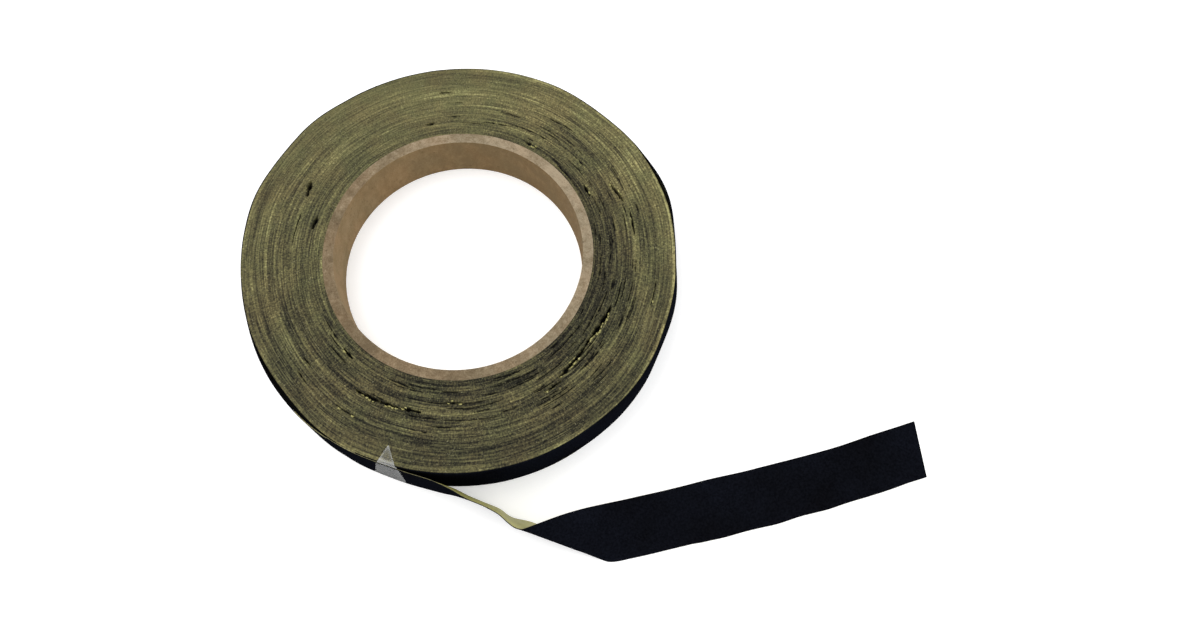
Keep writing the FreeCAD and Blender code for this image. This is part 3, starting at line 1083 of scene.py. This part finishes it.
def film_piece(name, sheet, side_haze, row_haze_and_highlight, materials):
    """The film's skin round these rows. Its rim attribute says how hazy it is at each point, and on the tip
    holds a painted highlight along the fold.
    """
    rows, columns = sheet.shape[:2]
    skin = np.concatenate([sheet, (sheet + FILM * outward_of(sheet))[:, ::-1]], axis=1)
    faces = tube_faces(rows, 2 * columns) + end_faces(rows, 2 * columns)
    piece = make_piece(name, skin.reshape(-1, 3), [f[::-1] for f in faces], materials)
    across = np.abs(np.linspace(-1, 1, columns)) ** 4
    rim = np.clip(side_haze * across[None, :] + row_haze_and_highlight(np.linspace(0, 1, rows))[:, None], 0, 1)
    set_attribute(piece, "rim", np.concatenate([rim, rim[:, ::-1]], axis=1).reshape(-1))
    return piece


def band_haze(down):
    """Evenly hazy."""
    return np.full(len(down), 0.57)


def tip_haze_and_fold_highlight(down):
    """Painted highlight along the fold, as denser milky film, and hazy at the point."""
    return np.exp(-((down / 0.12) ** 2)) + 0.75 * down**4


# ---------------------------------------------------------------- build


face = wound_face_material()
cloth = backing_material()
khaki = adhesive_material()
slit_edge = tape_edge_material()
# Their last numbers paint light and shade by heading, on the core's end and on the bore wall.
board_end = board_material("board_end", BOARD_END, 24.0, (0.14, 0.043))
board_wall = board_material("board_wall", BOARD_WALL, 12.0, (-0.17, -0.10))
film = film_material()
pulled = fray_material()

wound = wound_tape([face, cloth, slit_edge])
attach(wound, "roll")
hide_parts("wound_adhesive", "wound_backing")

frays = adhesive_frays([pulled])
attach(frays, "roll")

for number in range(PLIES):
    ply = core_ply(number, [board_end, board_wall])
    mark_sharp(ply)
    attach(ply, "roll")
    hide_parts(f"core_ply_{number + 1}")

surface, outward = tail_surface()
LAST_ROW = len(surface) - 1
near = strip_piece("tail_near", surface, outward, 0, SEAM_ROW, [khaki, cloth, slit_edge])
far = strip_piece("tail_far", surface, outward, SEAM_ROW, LAST_ROW, [khaki, cloth, slit_edge])
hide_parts("lead_adhesive", "lead_backing")
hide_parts("tail_adhesive", "tail_backing", "end_adhesive", "end_backing")
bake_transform(near)
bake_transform(far)

film_side = (surface + FILM_LIFT * outward)[:SEAM_ROW]
film_band = film_piece("film_band", film_band_rows(film_side), 0.13, band_haze, [film])
film_point = film_piece("film_point", film_tip_rows(), 0.45, tip_haze_and_fold_highlight, [film])
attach(film_band, "peel_lead")
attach(film_point, "film_tip")
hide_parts("tab_band")
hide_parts("tab_tip")


# ---------------------------------------------------------------- stage


# The floor's side and how far it lies below the part, in millimetres
FLOOR_SIDE = 6000.0
FLOOR_DROP = 0.05
# Where the lights point, in metres
LIT_PLACE = (0, -0.02, 0)
WORLD_STRENGTH = 0.95
SENSOR_WIDTH = 36.0
LENS = 26.31
CAMERA_PLACE = (0.0, -0.11661, 0.26415)
CAMERA_TURN = (0.34679, -0.03246, -0.30754)


def area_light(name, place, size, power, colour):
    """A round soft light turned towards LIT_PLACE."""
    data = bpy.data.lights.new(name, "AREA")
    data.shape = "DISK"
    data.size = size
    data.energy = power
    data.color = colour
    lamp = bpy.data.objects.new(name, data)
    bpy.context.scene.collection.objects.link(lamp)
    lamp.location = place
    lamp.rotation_euler = (Vector(LIT_PLACE) - Vector(place)).to_track_quat("-Z", "Y").to_euler()


def set_stage():
    """Pale floor, a warm key light behind on the left, a cooler fill in front, and the camera."""
    half = FLOOR_SIDE / 2
    corners = [(-half, -half, 0), (half, -half, 0), (half, half, 0), (-half, half, 0)]
    floor = make_piece("floor", corners, [(0, 1, 2, 3)], [floor_material()], smooth=False)
    floor.location.z = -FLOOR_DROP * MM
    area_light("key", (-0.30, 0.25, 0.75), 0.7, 3.6, (1.0, 0.99, 0.97))
    area_light("fill", (0.55, -0.45, 0.6), 0.8, 1.6, (0.97, 0.98, 1.0))
    world = bpy.data.worlds.new("studio")
    world.use_nodes = True
    background = world.node_tree.nodes["Background"]
    background.inputs["Color"].default_value = (1.0, 1.0, 1.0, 1.0)
    background.inputs["Strength"].default_value = WORLD_STRENGTH
    bpy.context.scene.world = world
    data = bpy.data.cameras.new("view")
    data.sensor_width = SENSOR_WIDTH
    data.lens = LENS
    data.clip_start = 0.01
    camera = bpy.data.objects.new("view", data)
    bpy.context.scene.collection.objects.link(camera)
    camera.location = CAMERA_PLACE
    camera.rotation_euler = CAMERA_TURN
    bpy.context.scene.camera = camera
    bpy.context.scene.view_settings.view_transform = "Standard"


set_stage()
bpy.context.view_layer.update()
